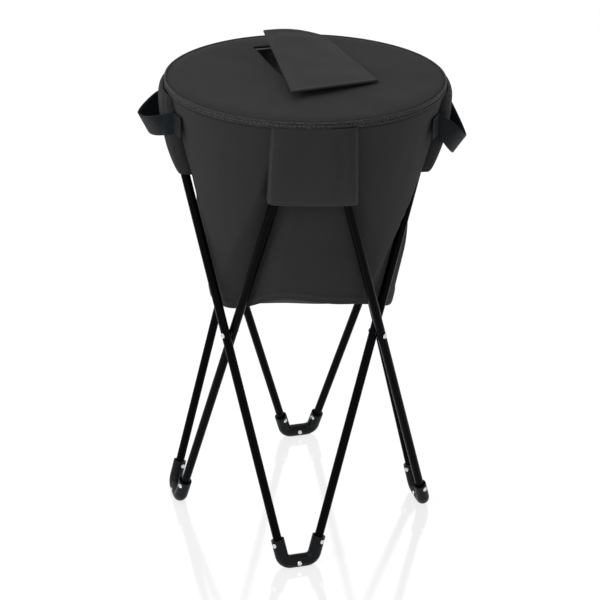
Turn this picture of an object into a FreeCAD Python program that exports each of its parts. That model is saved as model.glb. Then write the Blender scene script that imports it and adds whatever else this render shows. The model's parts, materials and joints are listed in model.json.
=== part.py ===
"""Cooler tub on a folding stand.

Eight leg tubes stand in four scissor pairs round a square. U-shaped hubs join the pairs at the floor and under the
rim, and a soft insulated tub with a zipped lid hangs on the four top hubs. Origin on the floor under the tub's
axis, +Z up, and the front hub on -Y. Millimetres.
"""
import FreeCAD, Part
import math
import os
from FreeCAD import Placement, Rotation, Vector

DIMENSIONS = (
    # stand
    ("tube_od", 16.0),
    ("tube_wall", 1.2),
    ("leg_lean", 19.7),
    ("fold_angle", 17.5),
    ("cross_z", 424.0),
    ("pair_offset", 186.0),
    ("spacer_gap", 2.6),
    ("spacer_od", 12.0),
    ("leg_end", 6.0),
    # hubs
    ("hub_od", 24.5),
    ("hub_flat", 0.75),
    ("hub_bend", 17.0),
    ("pivot_z", 46.0),
    ("socket_lip", 9.0),
    ("bore_clearance", 0.3),
    # rivets
    ("rivet_od", 5.0),
    ("rivet_head_od", 9.6),
    ("rivet_head_rise", 2.2),
    ("rivet_seat", 1.0),
    ("running_clearance", 0.05),
    # tub
    ("rim_radius", 243.0),
    ("floor_radius", 172.0),
    ("floor_low_z", 416.0),
    ("floor_rise", 69.0),
    ("wall_thickness", 3.0),
    ("liner_thickness", 3.0),
    ("floor_thickness", 4.0),
    ("fabric_clearance", 0.3),
    ("wall_clearance", 4.5),
    ("wall_reach", 85.0),
    ("rim_tape_width", 44.0),
    ("rim_tape_thickness", 1.6),
    ("zip_width", 5.0),
    ("zip_height", 2.8),
    # pockets
    ("pocket_drop", 142.0),
    ("pocket_thickness", 1.6),
    ("pocket_half_width", 66.0),
    ("pocket_splay", 12.0),
    # lid
    ("lid_thickness", 3.0),
    ("lid_lining_thickness", 3.0),
    ("hatch_width", 124.0),
    ("hatch_length", 244.0),
    ("flap_width", 160.0),
    ("flap_length", 284.0),
    ("flap_thickness", 4.0),
    ("flap_turn", 18.0),
    ("flap_raise", 5.0),
    ("flap_x", 6.0),
    ("flap_y", 56.0),
    # handles
    ("strap_width", 38.0),
    ("strap_thickness", 2.4),
    ("strap_nose", 13.0),
    ("left_handle_reach", 64.0),
    ("left_handle_knee", 40.0),
    ("left_handle_droop", 27.0),
    ("right_handle_reach", 73.0),
    ("right_handle_knee", 49.0),
    ("right_handle_droop", 45.0),
    ("handle_draw", 6.0),
    ("handle_half_span", 96.0),
    ("handle_z", 800.0),
    ("patch_thickness", 2.0),
    # zip slider
    ("slider_length", 12.0),
    ("slider_width", 4.6),
    ("pull_length", 30.0),
    ("pull_thickness", 1.6),
    ("slider_park_angle", 12.0),
)

SIDES = ("front", "left", "back", "right")
SIDE_DIRECTIONS = (Vector(0, -1, 0), Vector(-1, 0, 0), Vector(0, 1, 0), Vector(1, 0, 0))
UP = Vector(0, 0, 1)
ORIGIN = Vector(0, 0, 0)
WALL_LEVELS = 7
WALL_POINTS = 48
WALL_DRAW_POWER = 1.5


def new_document():
    document = FreeCAD.newDocument("cooler_tub_stand")
    sheet = document.addObject("Spreadsheet::Sheet", "sizes")
    for row, (alias, value) in enumerate(DIMENSIONS, start=1):
        sheet.set("A%d" % row, alias)
        sheet.set("B%d" % row, str(value))
        sheet.setAlias("B%d" % row, alias)
    document.recompute()
    return document, sheet


doc, sizes = new_document()
sub_parts = []


def size(alias):
    return float(sizes.get(alias))


def keep(feature, label):
    """Names a finished sub-part."""
    feature.Label = label
    sub_parts.append(feature)
    return feature


def keep_shape(shape, label):
    feature = doc.addObject("Part::Feature", "piece_" + label)
    feature.Shape = shape
    return keep(feature, label)


# Places worked out from the driving dimensions

lean = math.radians(size("leg_lean"))
tube_r = size("tube_od") / 2
hub_r = size("hub_od") / 2
bar_z = hub_r - size("hub_flat")
pivot_z = size("pivot_z")
cross_z = size("cross_z")
top_z = 2 * cross_z
pair_step = (size("tube_od") + size("spacer_gap")) / 2
outer_offset = size("pair_offset") + pair_step
inner_offset = size("pair_offset") - pair_step
rim_z = top_z + size("fabric_clearance")
tape_top_z = rim_z + size("rim_tape_thickness")
zip_split_z = tape_top_z + size("zip_height")
lid_bottom_z = zip_split_z + size("fabric_clearance") + size("zip_height")
lid_middle_z = lid_bottom_z + size("lid_lining_thickness")
lid_top_z = lid_middle_z + size("lid_thickness")


def outward(side):
    return SIDE_DIRECTIONS[side % 4]


def pair_normal(side):
    """Points out of the scissor pair between a side's hub and the next hub."""
    return (outward(side) + outward(side + 1)).normalize()


def pair_along(side):
    """Points along the pair, from its own hub to the next one."""
    return (outward(side + 1) - outward(side)).normalize()


def leg_shift(z):
    """How far along its pair a leg has leaned at a height, from the crossing."""
    return math.tan(lean) * (z - cross_z)


def leg_point(side, outer, z):
    """A point on a leg's axis. Outer legs lean to the next hub, inner legs lean back."""
    along = leg_shift(z) if outer else -leg_shift(z)
    offset = outer_offset if outer else inner_offset
    return pair_normal(side) * offset + pair_along(side) * along + UP * z


def leg_direction(side, outer):
    return (leg_point(side, outer, cross_z + 1) - leg_point(side, outer, cross_z)).normalize()


def turned(shape, centre, axis, degrees):
    copy = shape.copy()
    copy.rotate(centre, axis, degrees)
    return copy


def rod(start, end, radius):
    return Part.makeCylinder(radius, (end - start).Length, start, end - start)


def rounded_path(points, radius):
    """Straight runs joined by tangent arcs."""
    edges = []
    start = points[0]
    for before, corner, after in zip(points, points[1:], points[2:]):
        back = (before - corner).normalize()
        on = (after - corner).normalize()
        half = back.getAngle(on) / 2
        reach = radius / math.tan(half)
        centre = corner + (back + on).normalize() * (radius / math.sin(half))
        nearest = centre + (corner - centre).normalize() * radius
        edges.append(Part.LineSegment(start, corner + back * reach).toShape())
        edges.append(Part.Arc(corner + back * reach, nearest, corner + on * reach).toShape())
        start = corner + on * reach
    edges.append(Part.LineSegment(start, points[-1]).toShape())
    return Part.Wire(edges)


def bent_bar(path, radius):
    """A round bar along straight runs and arcs: a cylinder for each run and a part of a ring for each arc."""
    pieces = []
    for edge in path.OrderedEdges:
        start = edge.valueAt(edge.FirstParameter)
        end = edge.valueAt(edge.LastParameter)
        if isinstance(edge.Curve, Part.Line):
            pieces.append(rod(start, end, radius))
            continue
        centre = edge.Curve.Center
        axis = (start - centre).cross(end - centre)
        disc = Part.Face(Part.Wire(Part.makeCircle(radius, start, axis.cross(start - centre))))
        pieces.append(disc.revolve(centre, axis, math.degrees((start - centre).getAngle(end - centre))))
    return pieces[0].fuse(pieces[1:]).removeSplitter()


def rivet(centre, axis, grip):
    """A shank with a rounded head at each end, centred in its grip."""
    rise = size("rivet_head_rise")
    radius = size("rivet_head_od") / 2
    shank = Part.makeCylinder(size("rivet_od") / 2, grip, UP * (-grip / 2))
    shoulder = Part.makeCone(radius, radius * 0.82, rise * 0.6, UP * (grip / 2))
    crown = Part.makeCone(radius * 0.82, radius * 0.4, rise * 0.4, UP * (grip / 2 + rise * 0.6))
    head = shoulder.fuse(crown)
    shape = shank.fuse([head, turned(head, ORIGIN, Vector(1, 0, 0), 180)])
    shape.Placement = Placement(centre, Rotation(UP, axis))
    return shape


# Legs: a tube with a cross hole for each pivot and one for the crossing rivet

def leg_tube(side, outer):
    half = "(sizes.cross_z - sizes.pivot_z) / cos(sizes.leg_lean * 1 deg)"
    length = "2 * %s + 2 * sizes.leg_end" % half
    name = "%s_%s_leg" % (SIDES[side], "outer" if outer else "inner")

    def cylinder(part, radius, height):
        feature = doc.addObject("Part::Cylinder", name + part)
        feature.setExpression("Radius", radius)
        feature.setExpression("Height", height)
        return feature

    skin = cylinder("_skin", "sizes.tube_od / 2", length)
    bore = cylinder("_bore", "sizes.tube_od / 2 - sizes.tube_wall", length)
    holes = []
    for part, reach in (("_low", "sizes.leg_end"), ("_middle", "sizes.leg_end + " + half),
                        ("_high", "sizes.leg_end + 2 * " + half)):
        hole = cylinder(part, "sizes.rivet_od / 2 + sizes.running_clearance", "2 * sizes.tube_od")
        hole.Placement = Placement(ORIGIN, Rotation(UP, Vector(0, 1, 0)))
        hole.setExpression(".Placement.Base.y", "-sizes.tube_od")
        hole.setExpression(".Placement.Base.z", reach)
        holes.append(hole)
    cutter = doc.addObject("Part::MultiFuse", name + "_cutter")
    cutter.Shapes = [bore] + holes
    tube = doc.addObject("Part::Cut", name)
    tube.Base = skin
    tube.Tool = cutter
    direction = leg_direction(side, outer)
    foot = leg_point(side, outer, pivot_z) - direction * size("leg_end")
    normal = pair_normal(side)
    tube.Placement = Placement(foot, Rotation(normal.cross(direction), normal, direction, "ZYX"))
    keep(tube, name)


# Hubs: the front foot is made once, and the others are turned copies of it

def front_foot():
    """The moulded hub and its three rivets. Its outer socket holds the front pair, its inner one the right pair."""
    sockets = ((0, True), (3, False))
    lip_z = pivot_z + size("socket_lip") * math.cos(lean)
    (side_a, outer_a), (side_b, outer_b) = sockets
    path = rounded_path([leg_point(side_a, outer_a, lip_z), leg_point(side_a, outer_a, bar_z),
                         leg_point(side_b, outer_b, bar_z), leg_point(side_b, outer_b, lip_z)], size("hub_bend"))
    hub = bent_bar(path, hub_r)
    below = Part.makeBox(4 * outer_offset, 4 * outer_offset, hub_r, Vector(-1, -1, 0) * (2 * outer_offset) - UP * hub_r)
    cutters = [below]
    rivets = []
    hole_r = size("rivet_od") / 2 + size("running_clearance")
    seat_r = size("rivet_head_od") / 2 + size("fabric_clearance")
    seat = hub_r - size("rivet_seat")

    def rivet_place(centre, axis):
        cutters.append(rod(centre - axis * size("hub_od"), centre + axis * size("hub_od"), hole_r))
        for way in (axis, axis * -1):
            cutters.append(rod(centre + way * seat, centre + way * size("hub_od"), seat_r))
        rivets.append(rivet(centre, axis, 2 * seat))

    for side, outer in sockets:
        pivot = leg_point(side, outer, pivot_z)
        direction = leg_direction(side, outer)
        normal = pair_normal(side)
        high = pivot + direction * size("hub_od") * 2
        fold = -size("fold_angle") if outer else size("fold_angle")
        bore = rod(pivot, high, tube_r + size("bore_clearance"))
        swung_bore = turned(rod(pivot, high, tube_r + 2 * size("bore_clearance")), pivot, normal, fold)
        hollow = Part.makeSphere(math.hypot(tube_r, size("leg_end")) + size("bore_clearance"), pivot)
        cutters += [hollow, bore, swung_bore]
        rivet_place(pivot, normal)
    bar_start = leg_point(side_a, outer_a, bar_z)
    bar_end = leg_point(side_b, outer_b, bar_z)
    across = (bar_end - bar_start).cross(UP).normalize()
    rivet_place((bar_start + bar_end) / 2, across)
    for cutter in cutters:
        hub = hub.cut(cutter)
    return hub.removeSplitter(), Part.makeCompound(rivets)


def hubs():
    hub, rivets = front_foot()
    for side, name in enumerate(SIDES):
        foot_turn = Placement(ORIGIN, Rotation(UP, -90 * side))
        over = Placement(ORIGIN, Rotation(UP, -90 * (side - 1))).multiply(
            Placement(ORIGIN, Rotation(pair_normal(0), 180), UP * cross_z))
        for place, level in ((foot_turn, "foot"), (over, "top")):
            for shape, suffix in ((hub, ""), (rivets, "_rivets")):
                copy = shape.copy()
                copy.Placement = place.multiply(copy.Placement)
                keep_shape(copy, "%s_%s%s" % (name, level, suffix))


# Crossings: a rivet through both tubes of a pair, and a spacer between them

def crossing(side):
    normal = pair_normal(side)
    centre = normal * size("pair_offset") + UP * cross_z
    gap = size("fabric_clearance")
    keep_shape(rivet(centre, normal, 2 * pair_step + size("tube_od") + gap), SIDES[side] + "_cross_rivet")
    name = SIDES[side] + "_cross_spacer"
    ring = doc.addObject("Part::Cylinder", name + "_ring")
    hole = doc.addObject("Part::Cylinder", name + "_hole")
    for feature, radius in ((ring, "sizes.spacer_od / 2"), (hole, "sizes.rivet_od / 2 + sizes.running_clearance")):
        feature.setExpression("Radius", radius)
        feature.setExpression("Height", "sizes.spacer_gap - 2 * sizes.running_clearance")
    spacer = doc.addObject("Part::Cut", name)
    spacer.Base = ring
    spacer.Tool = hole
    thickness = size("spacer_gap") - 2 * size("running_clearance")
    spacer.Placement = Placement(centre - normal * (thickness / 2), Rotation(UP, normal))
    keep(spacer, name)


# Tub: the wall hangs taut from the rim to the floor, and is drawn in where a leg passes

trough_radius = (size("floor_radius") ** 2 + size("floor_rise") ** 2) / (2 * size("floor_rise"))
trough_z = size("floor_low_z") + trough_radius


def wall_radius(angle, z):
    """Radius of the wall's outer face, at an angle from a hub's own direction."""
    shift = abs(leg_shift(z))
    leg_radius = math.hypot(inner_offset, shift)
    socket_z = top_z - pivot_z - size("socket_lip")
    near_socket = min(1.0, max(0.0, (z - socket_z + size("hub_od") * 4) / (size("hub_od") * 3)))
    around_leg = tube_r + (hub_r - tube_r) * near_socket
    pinch = leg_radius - around_leg - size("wall_clearance")
    leg_angle = math.pi / 4 - math.atan2(shift, inner_offset)
    folded = abs((angle + math.pi / 4) % (math.pi / 2) - math.pi / 4)
    share = (z - size("floor_low_z")) / (rim_z - size("floor_low_z"))
    taut = size("floor_radius") + (size("rim_radius") - size("floor_radius")) * share
    away = min(1.0, abs(folded - leg_angle) * leg_radius / size("wall_reach"))
    return min(taut, pinch + (taut - pinch) * away ** WALL_DRAW_POWER)


def wall_loft(inset, bottom, top):
    """The closed form inside the wall's outer face, less an inset."""
    rings = []
    for level in range(WALL_LEVELS):
        z = bottom + (top - bottom) * level / (WALL_LEVELS - 1)
        shape_z = min(max(z, size("floor_low_z")), rim_z)
        points = []
        for step in range(WALL_POINTS):
            angle = 2 * math.pi * step / WALL_POINTS
            radius = wall_radius(angle, shape_z) - inset
            points.append(Vector(radius * math.cos(angle), radius * math.sin(angle), z))
        curve = Part.BSplineCurve()
        curve.interpolate(points, PeriodicFlag=True)
        rings.append(Part.Wire(curve.toShape()))
    return Part.makeLoft(rings, True, True)


def under_trough(lift):
    """Everything below the floor's trough, which runs from left to right, lifted by its thickness."""
    wide = 2.4 * size("rim_radius")
    block = Part.makeBox(wide, wide, trough_z, Vector(-wide / 2, -wide / 2, 0))
    drum = Part.makeCylinder(trough_radius - lift, wide, Vector(-wide / 2, 0, trough_z), Vector(1, 0, 0))
    return block.cut(drum)


def tub():
    wall = size("wall_thickness")
    gap = size("fabric_clearance")
    bottom = size("floor_low_z") - 2 * size("floor_thickness")
    outer = wall_loft(0, bottom, rim_z)
    inner = wall_loft(wall, bottom, rim_z)
    liner_outer = wall_loft(wall + gap, bottom, rim_z)
    liner_inner = wall_loft(wall + gap + size("liner_thickness"), bottom, rim_z)
    above_floor = under_trough(size("floor_thickness") + gap)
    keep_shape(outer.cut(inner).cut(above_floor), "tub_wall")
    keep_shape(liner_outer.cut(liner_inner).cut(above_floor), "tub_liner")
    keep_shape(outer.common(under_trough(size("floor_thickness"))).cut(under_trough(0)), "tub_floor")


def ring_piece(label, inner_radius, outer_radius, low, high):
    """A flat ring as a revolved section whose edges are the sheet's sizes."""
    blank = Part.makeCylinder(outer_radius, high - low, UP * low)
    hole = Part.makeCylinder(inner_radius, high - low, UP * low)
    keep_shape(blank.cut(hole), label)


def rim():
    edge = size("rim_radius")
    ring_piece("rim_tape", edge - size("rim_tape_width"), edge, rim_z, tape_top_z)
    ring_piece("lower_zip_tape", edge - size("zip_width"), edge, tape_top_z, zip_split_z)
    ring_piece("upper_zip_tape", edge - size("zip_width"), edge, zip_split_z + size("fabric_clearance"), lid_bottom_z)


# Pockets: a front panel that clears a top hub, with sides that come back to the wall

def pocket(side):
    gap = size("fabric_clearance")
    cloth = size("pocket_thickness")
    low_z = rim_z - size("pocket_drop")
    socket_z = top_z - pivot_z - size("socket_lip")
    bar_face = (outer_offset + leg_shift(top_z - bar_z)) / math.sqrt(2) + hub_r
    leg_face = (outer_offset + leg_shift(low_z)) / math.sqrt(2) + tube_r + gap
    half = size("pocket_half_width")
    levels = ((low_z, half + size("pocket_splay"), leg_face), (socket_z, half + gap, bar_face), (rim_z, half, bar_face))
    rings = []
    for z, half_width, face in levels:
        back = half_width + cloth * 2
        angle = math.atan2(back, face)
        seam = wall_radius(angle, z) * math.cos(angle) + size("wall_clearance")
        outline = ((-back, seam), (-half_width, face + cloth), (half_width, face + cloth), (back, seam),
                   (back - cloth, seam), (half_width - cloth, face), (cloth - half_width, face), (cloth - back, seam))
        corners = [Vector(x, -y, z) for x, y in outline]
        rings.append(Part.makePolygon(corners + corners[:1]))
    shape = Part.makeLoft(rings, True, True)
    shape.rotate(ORIGIN, UP, -90 * side)
    keep_shape(shape, SIDES[side] + "_pocket")


# Lid: a panel and its lining with a hatch through both, and a flap hinged along the hatch's right side

def hatch_block(width, length, low, high):
    """An upright block over the hatch, turned with it."""
    block = Part.makeBox(width, length, high - low, Vector(-width / 2, -length / 2, low))
    block.rotate(ORIGIN, UP, size("flap_turn"))
    block.translate(Vector(size("flap_x"), size("flap_y"), 0))
    return block


def lid():
    edge = size("rim_radius")
    hatch = hatch_block(size("hatch_width"), size("hatch_length"), lid_bottom_z - 1, lid_top_z + 1)
    lining_edge = edge - size("zip_width") - size("fabric_clearance")
    lining = Part.makeCylinder(lining_edge, size("lid_lining_thickness"), UP * lid_bottom_z)
    panel = Part.makeCylinder(edge, size("lid_thickness"), UP * lid_middle_z)
    band = Part.makeCylinder(edge, size("lid_lining_thickness"), UP * lid_bottom_z).cut(
        Part.makeCylinder(lining_edge + size("fabric_clearance"), size("lid_lining_thickness"), UP * lid_bottom_z))
    keep_shape(lining.cut(hatch), "lid_lining")
    keep_shape(panel.fuse(band).cut(hatch).removeSplitter(), "lid_panel")
    turn = math.radians(size("flap_turn"))
    flap_z = lid_top_z + size("fabric_clearance")
    flap = hatch_block(size("flap_width"), size("flap_length"), flap_z, flap_z + size("flap_thickness"))
    upright = [edge for edge in flap.Edges if abs(edge.tangentAt(edge.FirstParameter).z) > 0.9]
    flap = flap.makeFillet(size("flap_thickness") * 2, upright)
    across = Vector(math.cos(turn), math.sin(turn), 0)
    hinge = Vector(size("flap_x"), size("flap_y"), flap_z + size("flap_thickness")) + across * (size("flap_width") / 2)
    flap.rotate(hinge, Vector(-math.sin(turn), math.cos(turn), 0), size("flap_raise"))
    keep_shape(flap, "hatch_flap")


# Handles: a webbing loop over the left and right pockets, each end sewn to the wall under a patch

def handle(side):
    half_span = size("handle_half_span")
    thickness = size("strap_thickness")
    width = size("strap_width")
    z = size("handle_z")
    spread = math.asin(half_span / size("rim_radius"))
    half_turn = width / 2 / size("rim_radius")
    wall_face = max(wall_radius(spread + half_turn * a, z + width / 2 * b)
                    for a in (-1, 0, 1) for b in (-1, 0, 1))
    patch_low = wall_face + size("fabric_clearance")
    patches = []
    for way in (1, -1):
        patch = Part.makeBox(size("patch_thickness"), width, width, Vector(patch_low, -width / 2, z - width / 2))
        patches.append(turned(patch, ORIGIN, UP, math.degrees(way * spread)))
    hang = size(SIDES[side] + "_handle_droop")
    start_x = patch_low * math.cos(spread) + 2 * size("patch_thickness") + width / 2 * math.sin(math.radians(hang))
    ends = patch_low * math.sin(spread)
    reach = size(SIDES[side] + "_handle_reach")
    knee = Vector(size(SIDES[side] + "_handle_knee"), ends - size("handle_draw"), 0)
    path = rounded_path([Vector(0, -ends, 0), Vector(knee.x, -knee.y, 0), Vector(reach, 0, 0), knee,
                         Vector(0, ends, 0)], size("strap_nose"))
    run = (Vector(knee.x, -knee.y, 0) - Vector(0, -ends, 0)).normalize()
    beside = Vector(-run.y, run.x, 0)
    corners = [Vector(0, -ends, 0) + beside * (thickness / 2 * a) + UP * (width / 2 * b)
               for a, b in ((1, 1), (1, -1), (-1, -1), (-1, 1))]
    strap = path.makePipeShell([Part.makePolygon(corners + corners[:1])], True, False)
    strap.rotate(ORIGIN, Vector(0, 1, 0), hang)
    strap.translate(Vector(start_x, 0, z))
    for shape, label in ((strap, "_handle"), (Part.makeCompound(patches), "_handle_patches")):
        shape.rotate(ORIGIN, UP, 180 if SIDES[side] == "left" else 0)
        keep_shape(shape, SIDES[side] + label)


# Zip slider, parked at the back beside the lid's hinge, with its pull trailing along the rim

def zip_slider():
    start = size("rim_radius") + size("fabric_clearance")
    width = size("slider_width")
    length = size("slider_length")
    low = tape_top_z
    high = lid_bottom_z - size("fabric_clearance")
    body = Part.makeBox(width, length, high - low, Vector(start, -length / 2, low))
    body = body.makeFillet(width / 4, body.Edges)
    pull_height = (high - low) * 0.8
    middle = (high + low - pull_height) / 2
    pull = Part.makeBox(size("pull_thickness"), size("pull_length"), pull_height,
                        Vector(start + width / 2, length / 2, middle))
    for shape, label in ((body, "zip_slider"), (pull, "zip_pull")):
        shape.rotate(ORIGIN, UP, 90 + size("slider_park_angle"))
        keep_shape(shape, label)


def build():
    for side in range(4):
        leg_tube(side, True)
        leg_tube(side, False)
        crossing(side)
        pocket(side)
    hubs()
    tub()
    rim()
    lid()
    for side in (1, 3):
        handle(side)
    zip_slider()
    doc.recompute()


def check_and_write():
    for feature in doc.Objects:
        if "Invalid" in feature.State or "Error" in feature.State:
            raise RuntimeError("%s failed: %s" % (feature.Name, feature.State))
    for feature in sub_parts:
        if feature.Shape.isNull() or not feature.Shape.isValid() or not feature.Shape.Solids:
            raise RuntimeError("%s has no valid solid" % feature.Label)
    os.makedirs("parts", exist_ok=True)
    for feature in sub_parts:
        feature.Shape.exportStep(os.path.join("parts", feature.Label + ".step"))
        print(feature.Label, len(feature.Shape.Solids), round(feature.Shape.Volume, 1))


build()
check_and_write()
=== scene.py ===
"""Dresses the cooler tub stand: soft tub, pockets, lid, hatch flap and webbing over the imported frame."""
import functools
import json
import math

import bmesh
import bpy
from bpy.props import FloatProperty, FloatVectorProperty, IntProperty, PointerProperty
from bpy.types import Operator, Panel, PropertyGroup
from mathutils import Matrix, Quaternion, Vector, noise


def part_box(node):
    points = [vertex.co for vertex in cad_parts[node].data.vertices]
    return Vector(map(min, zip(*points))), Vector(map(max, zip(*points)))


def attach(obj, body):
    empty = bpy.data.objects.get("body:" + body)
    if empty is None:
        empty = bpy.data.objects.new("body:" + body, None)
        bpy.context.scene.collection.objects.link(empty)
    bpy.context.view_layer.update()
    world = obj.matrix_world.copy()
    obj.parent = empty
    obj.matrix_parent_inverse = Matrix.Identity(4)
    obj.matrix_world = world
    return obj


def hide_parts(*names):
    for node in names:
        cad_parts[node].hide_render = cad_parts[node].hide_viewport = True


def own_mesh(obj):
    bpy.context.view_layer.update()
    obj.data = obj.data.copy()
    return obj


bl_info = {
    "name": "Cooler Tub Stand",
    "version": (1, 0, 0),
    "blender": (4, 5, 0),
    "location": "3D View > Sidebar > Tub Stand",
    "description": "Dresses a folding tub stand with its soft tub, lid and handles",
    "category": "Add Mesh",
}

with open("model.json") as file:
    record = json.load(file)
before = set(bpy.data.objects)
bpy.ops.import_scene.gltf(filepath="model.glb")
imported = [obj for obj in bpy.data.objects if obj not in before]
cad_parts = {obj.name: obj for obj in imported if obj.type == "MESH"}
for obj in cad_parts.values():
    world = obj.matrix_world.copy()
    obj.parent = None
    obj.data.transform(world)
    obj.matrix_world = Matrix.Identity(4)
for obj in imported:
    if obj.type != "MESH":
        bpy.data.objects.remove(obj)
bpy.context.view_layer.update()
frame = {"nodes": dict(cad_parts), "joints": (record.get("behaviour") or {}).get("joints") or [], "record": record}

# Places read from the frame

SIDES = ("front", "left", "back", "right")
TURN_OF_SIDE = {"front": 0.0, "left": -math.pi / 2, "back": math.pi, "right": math.pi / 2}
TUB_BODY = "back_top"
HUB_REACH = -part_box("front_top")[0].y
HUB_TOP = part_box("front_top")[1].z
RIM_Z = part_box("rim_tape")[0].z
RIM_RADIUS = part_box("lid_panel")[1].x
LID_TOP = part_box("lid_panel")[1].z
LID_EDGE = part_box("lid_panel")[0].z
POCKET_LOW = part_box("front_pocket")[0].z

MERGE_DISTANCE = 1e-6
UP = Vector((0, 0, 1))


def joint_named(name):
    return next(joint for joint in frame["joints"] if joint["name"] == name)


def metres(text, default):
    return FloatProperty(description=text, default=default, unit="LENGTH")


def degrees(text, default):
    return FloatProperty(description=text, default=math.radians(default), unit="ROTATION")


def factor(text, default):
    return FloatProperty(description=text, default=default)


def flap_corner(text, default):
    return FloatVectorProperty(description=text, default=default, size=3, subtype="TRANSLATION")


def colour(text, default):
    return FloatVectorProperty(description=text, default=default, size=3, subtype="COLOR", min=0, max=1)


class TubSizes(PropertyGroup):
    lean: degrees("Lean of each leg tube", 19.7)
    cross_height: metres("Height where a pair of legs crosses", 0.424)
    inner_offset: metres("Distance from the axis to the inner legs' planes", 0.1767)
    outer_offset: metres("Distance from the axis to the outer legs' planes", 0.1953)
    tube_radius: metres("Outer radius of a leg tube", 0.008)
    hub_radius: metres("Outer radius of a hub's socket", 0.01225)
    socket_height: metres("Height where the tubes enter the top sockets", 0.793)
    leg_clearance: metres("Room between the cloth and a leg", 0.0040)
    low_reach: metres("Reach of a leg's draw-in at the floor", 0.085)
    top_reach: metres("Reach of a leg's draw-in at the rim", 0.022)
    floor_radius: metres("Radius of the wall's cone at its foot", 0.162)
    floor_low: metres("Height of the wall's cone at its foot", 0.416)
    seam_low: metres("Lowest height of the wall's lower seam", 0.448)
    trough_radius: metres("Radius of the floor's trough", 0.271)
    flat_low: metres("Where the wall is still round between a hub's legs", 0.540)
    flat_high: metres("Where the wall is flat between a hub's legs", 0.730)
    pocket_middle: metres("Sideways shift of a pocket from its hub's middle", 0.008)
    pocket_half_low: metres("Half width of a pocket at its lower edge", 0.0760)
    pocket_half_top: metres("Half width of a pocket at the rim", 0.0700)
    seam_sink: metres("Depth of a pocket's sewn sides in the wall", 0.0028)
    low_fullness: factor("Squareness of a pocket's lower edge", 5.5)
    top_fullness: factor("Squareness of a pocket's top", 2.5)
    hem_height: metres("Height of the bound hem", 0.015)
    hem_drop: metres("Drop of the hem's waves below the seam", 0.009)
    hem_rise: metres("How far the hem stands proud of the wall", 0.0017)
    wall_thickness: metres("Thickness of the outer cloth", 0.0026)
    wrinkle: metres("Depth of the wall's soft waves", 0.0021)
    columns: IntProperty(description="Mesh columns round the tub", default=240)
    rows: IntProperty(description="Mesh rows up the tub", default=56)


class LidSizes(PropertyGroup):
    crown: metres("Drop of the rolled edge", 0.0042)
    roll: metres("Width of the rolled edge", 0.034)
    sag: metres("Dip near the lid's middle", 0.0028)
    wrinkle: metres("Depth of the lid's soft waves", 0.0030)
    thickness: metres("Thickness of the lid's cloth", 0.0024)
    hatch_width: metres("Width of the opening under the flap", 0.124)
    hatch_length: metres("Length of the opening under the flap", 0.244)
    flap_width: metres("Width of the flap", 0.160)
    flap_length: metres("Length of the flap", 0.270)
    flap_thickness: metres("Thickness of the padded flap", 0.0036)
    hatch_x: metres("Hatch's centre, to the right", 0.006)
    hatch_y: metres("Hatch's centre, to the back", 0.056)
    hatch_turn: degrees("Turn of the hatch", 18)
    hinge_front: flap_corner("Front corner of the flap's hinged side", (0.1225, -0.0486, 0.0))
    hinge_back: flap_corner("Back corner of the flap's hinged side", (0.0425, 0.2055, 0.0))
    free_front: flap_corner("Front corner of the flap's free side", (-0.027, -0.137, 0.0085))
    free_back: flap_corner("Back corner of the flap's free side", (-0.072, 0.166, 0.022))
    hump: metres("Height of the slack in the flap's back edge", 0.007)


class StrapSizes(PropertyGroup):
    width: metres("Width of the webbing", 0.038)
    thickness: metres("Thickness of the webbing", 0.0022)
    root_inset: metres("How far inside the patches' middle the loop leaves them", 0.012)
    left_reach: metres("Reach of the left handle from its ends", 0.058)
    right_reach: metres("Reach of the right handle from its ends", 0.070)
    left_droop: degrees("Droop of the left handle", 27)
    right_droop: degrees("Droop of the right handle", 58)
    left_lean: degrees("Lean of the left webbing's width", 27)
    right_lean: degrees("Lean of the right webbing's width", 34)
    height: metres("Height of a handle's sewn ends", 0.800)
    left_fullness: factor("Squareness of the left loop", 1.55)
    right_fullness: factor("Squareness of the right loop", 1.95)


class Finishes(PropertyGroup):
    cloth: colour("Woven cloth of the tub", (0.0255, 0.0243, 0.0248))
    # The lid's cloth is the tub's cloth made darker: painted shade that offsets the top lamp's light on the lid.
    shaded_lid_cloth: colour("Woven cloth of the lid", (0.0225, 0.0218, 0.0226))
    webbing: colour("Handle webbing", (0.0036, 0.0056, 0.0076))
    lining: colour("Film inside the tub", (0.42, 0.43, 0.44))
    tube_paint: colour("Gloss paint of the legs", (0.0010, 0.0011, 0.0018))
    hub_plastic: colour("Moulded hubs", (0.0014, 0.0026, 0.0032))
    steel: colour("Bright rivets", (0.62, 0.62, 0.64))
    zip_dark: colour("Zip tape and teeth", (0.010, 0.010, 0.011))


def sizes():
    return bpy.context.scene.tub_sizes


def lid_sizes():
    return bpy.context.scene.lid_sizes


def strap_sizes():
    return bpy.context.scene.strap_sizes


def finishes():
    return bpy.context.scene.tub_finishes


class Value:
    """A shader socket that takes part in Python expressions."""

    def __init__(self, tree, socket):
        self.tree = tree
        self.socket = socket

    def math(self, operation, *others):
        return self.tree.node("Math", {"operation": operation}, [self, *others])

    def __add__(self, other):
        return self.math("ADD", other)

    def __sub__(self, other):
        return self.math("SUBTRACT", other)

    def __mul__(self, other):
        return self.math("MULTIPLY", other)

    def __truediv__(self, other):
        return self.math("DIVIDE", other)

    def size(self):
        return self.math("ABSOLUTE")

    def most(self, other):
        return self.math("MAXIMUM", other)

    def below(self, limit):
        return self.math("LESS_THAN", limit)

    def within(self, middle, half):
        """1 inside a narrow band, 0 outside it."""
        return (self - middle).size().below(half)

    def share(self, pitch):
        """How far along the current pitch it is, from 0 to 1."""
        return (self / pitch).math("FRACT")

    def wave(self, pitch):
        """A sine wave with a given pitch."""
        return (self * (math.tau / pitch)).math("SINE")


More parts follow.
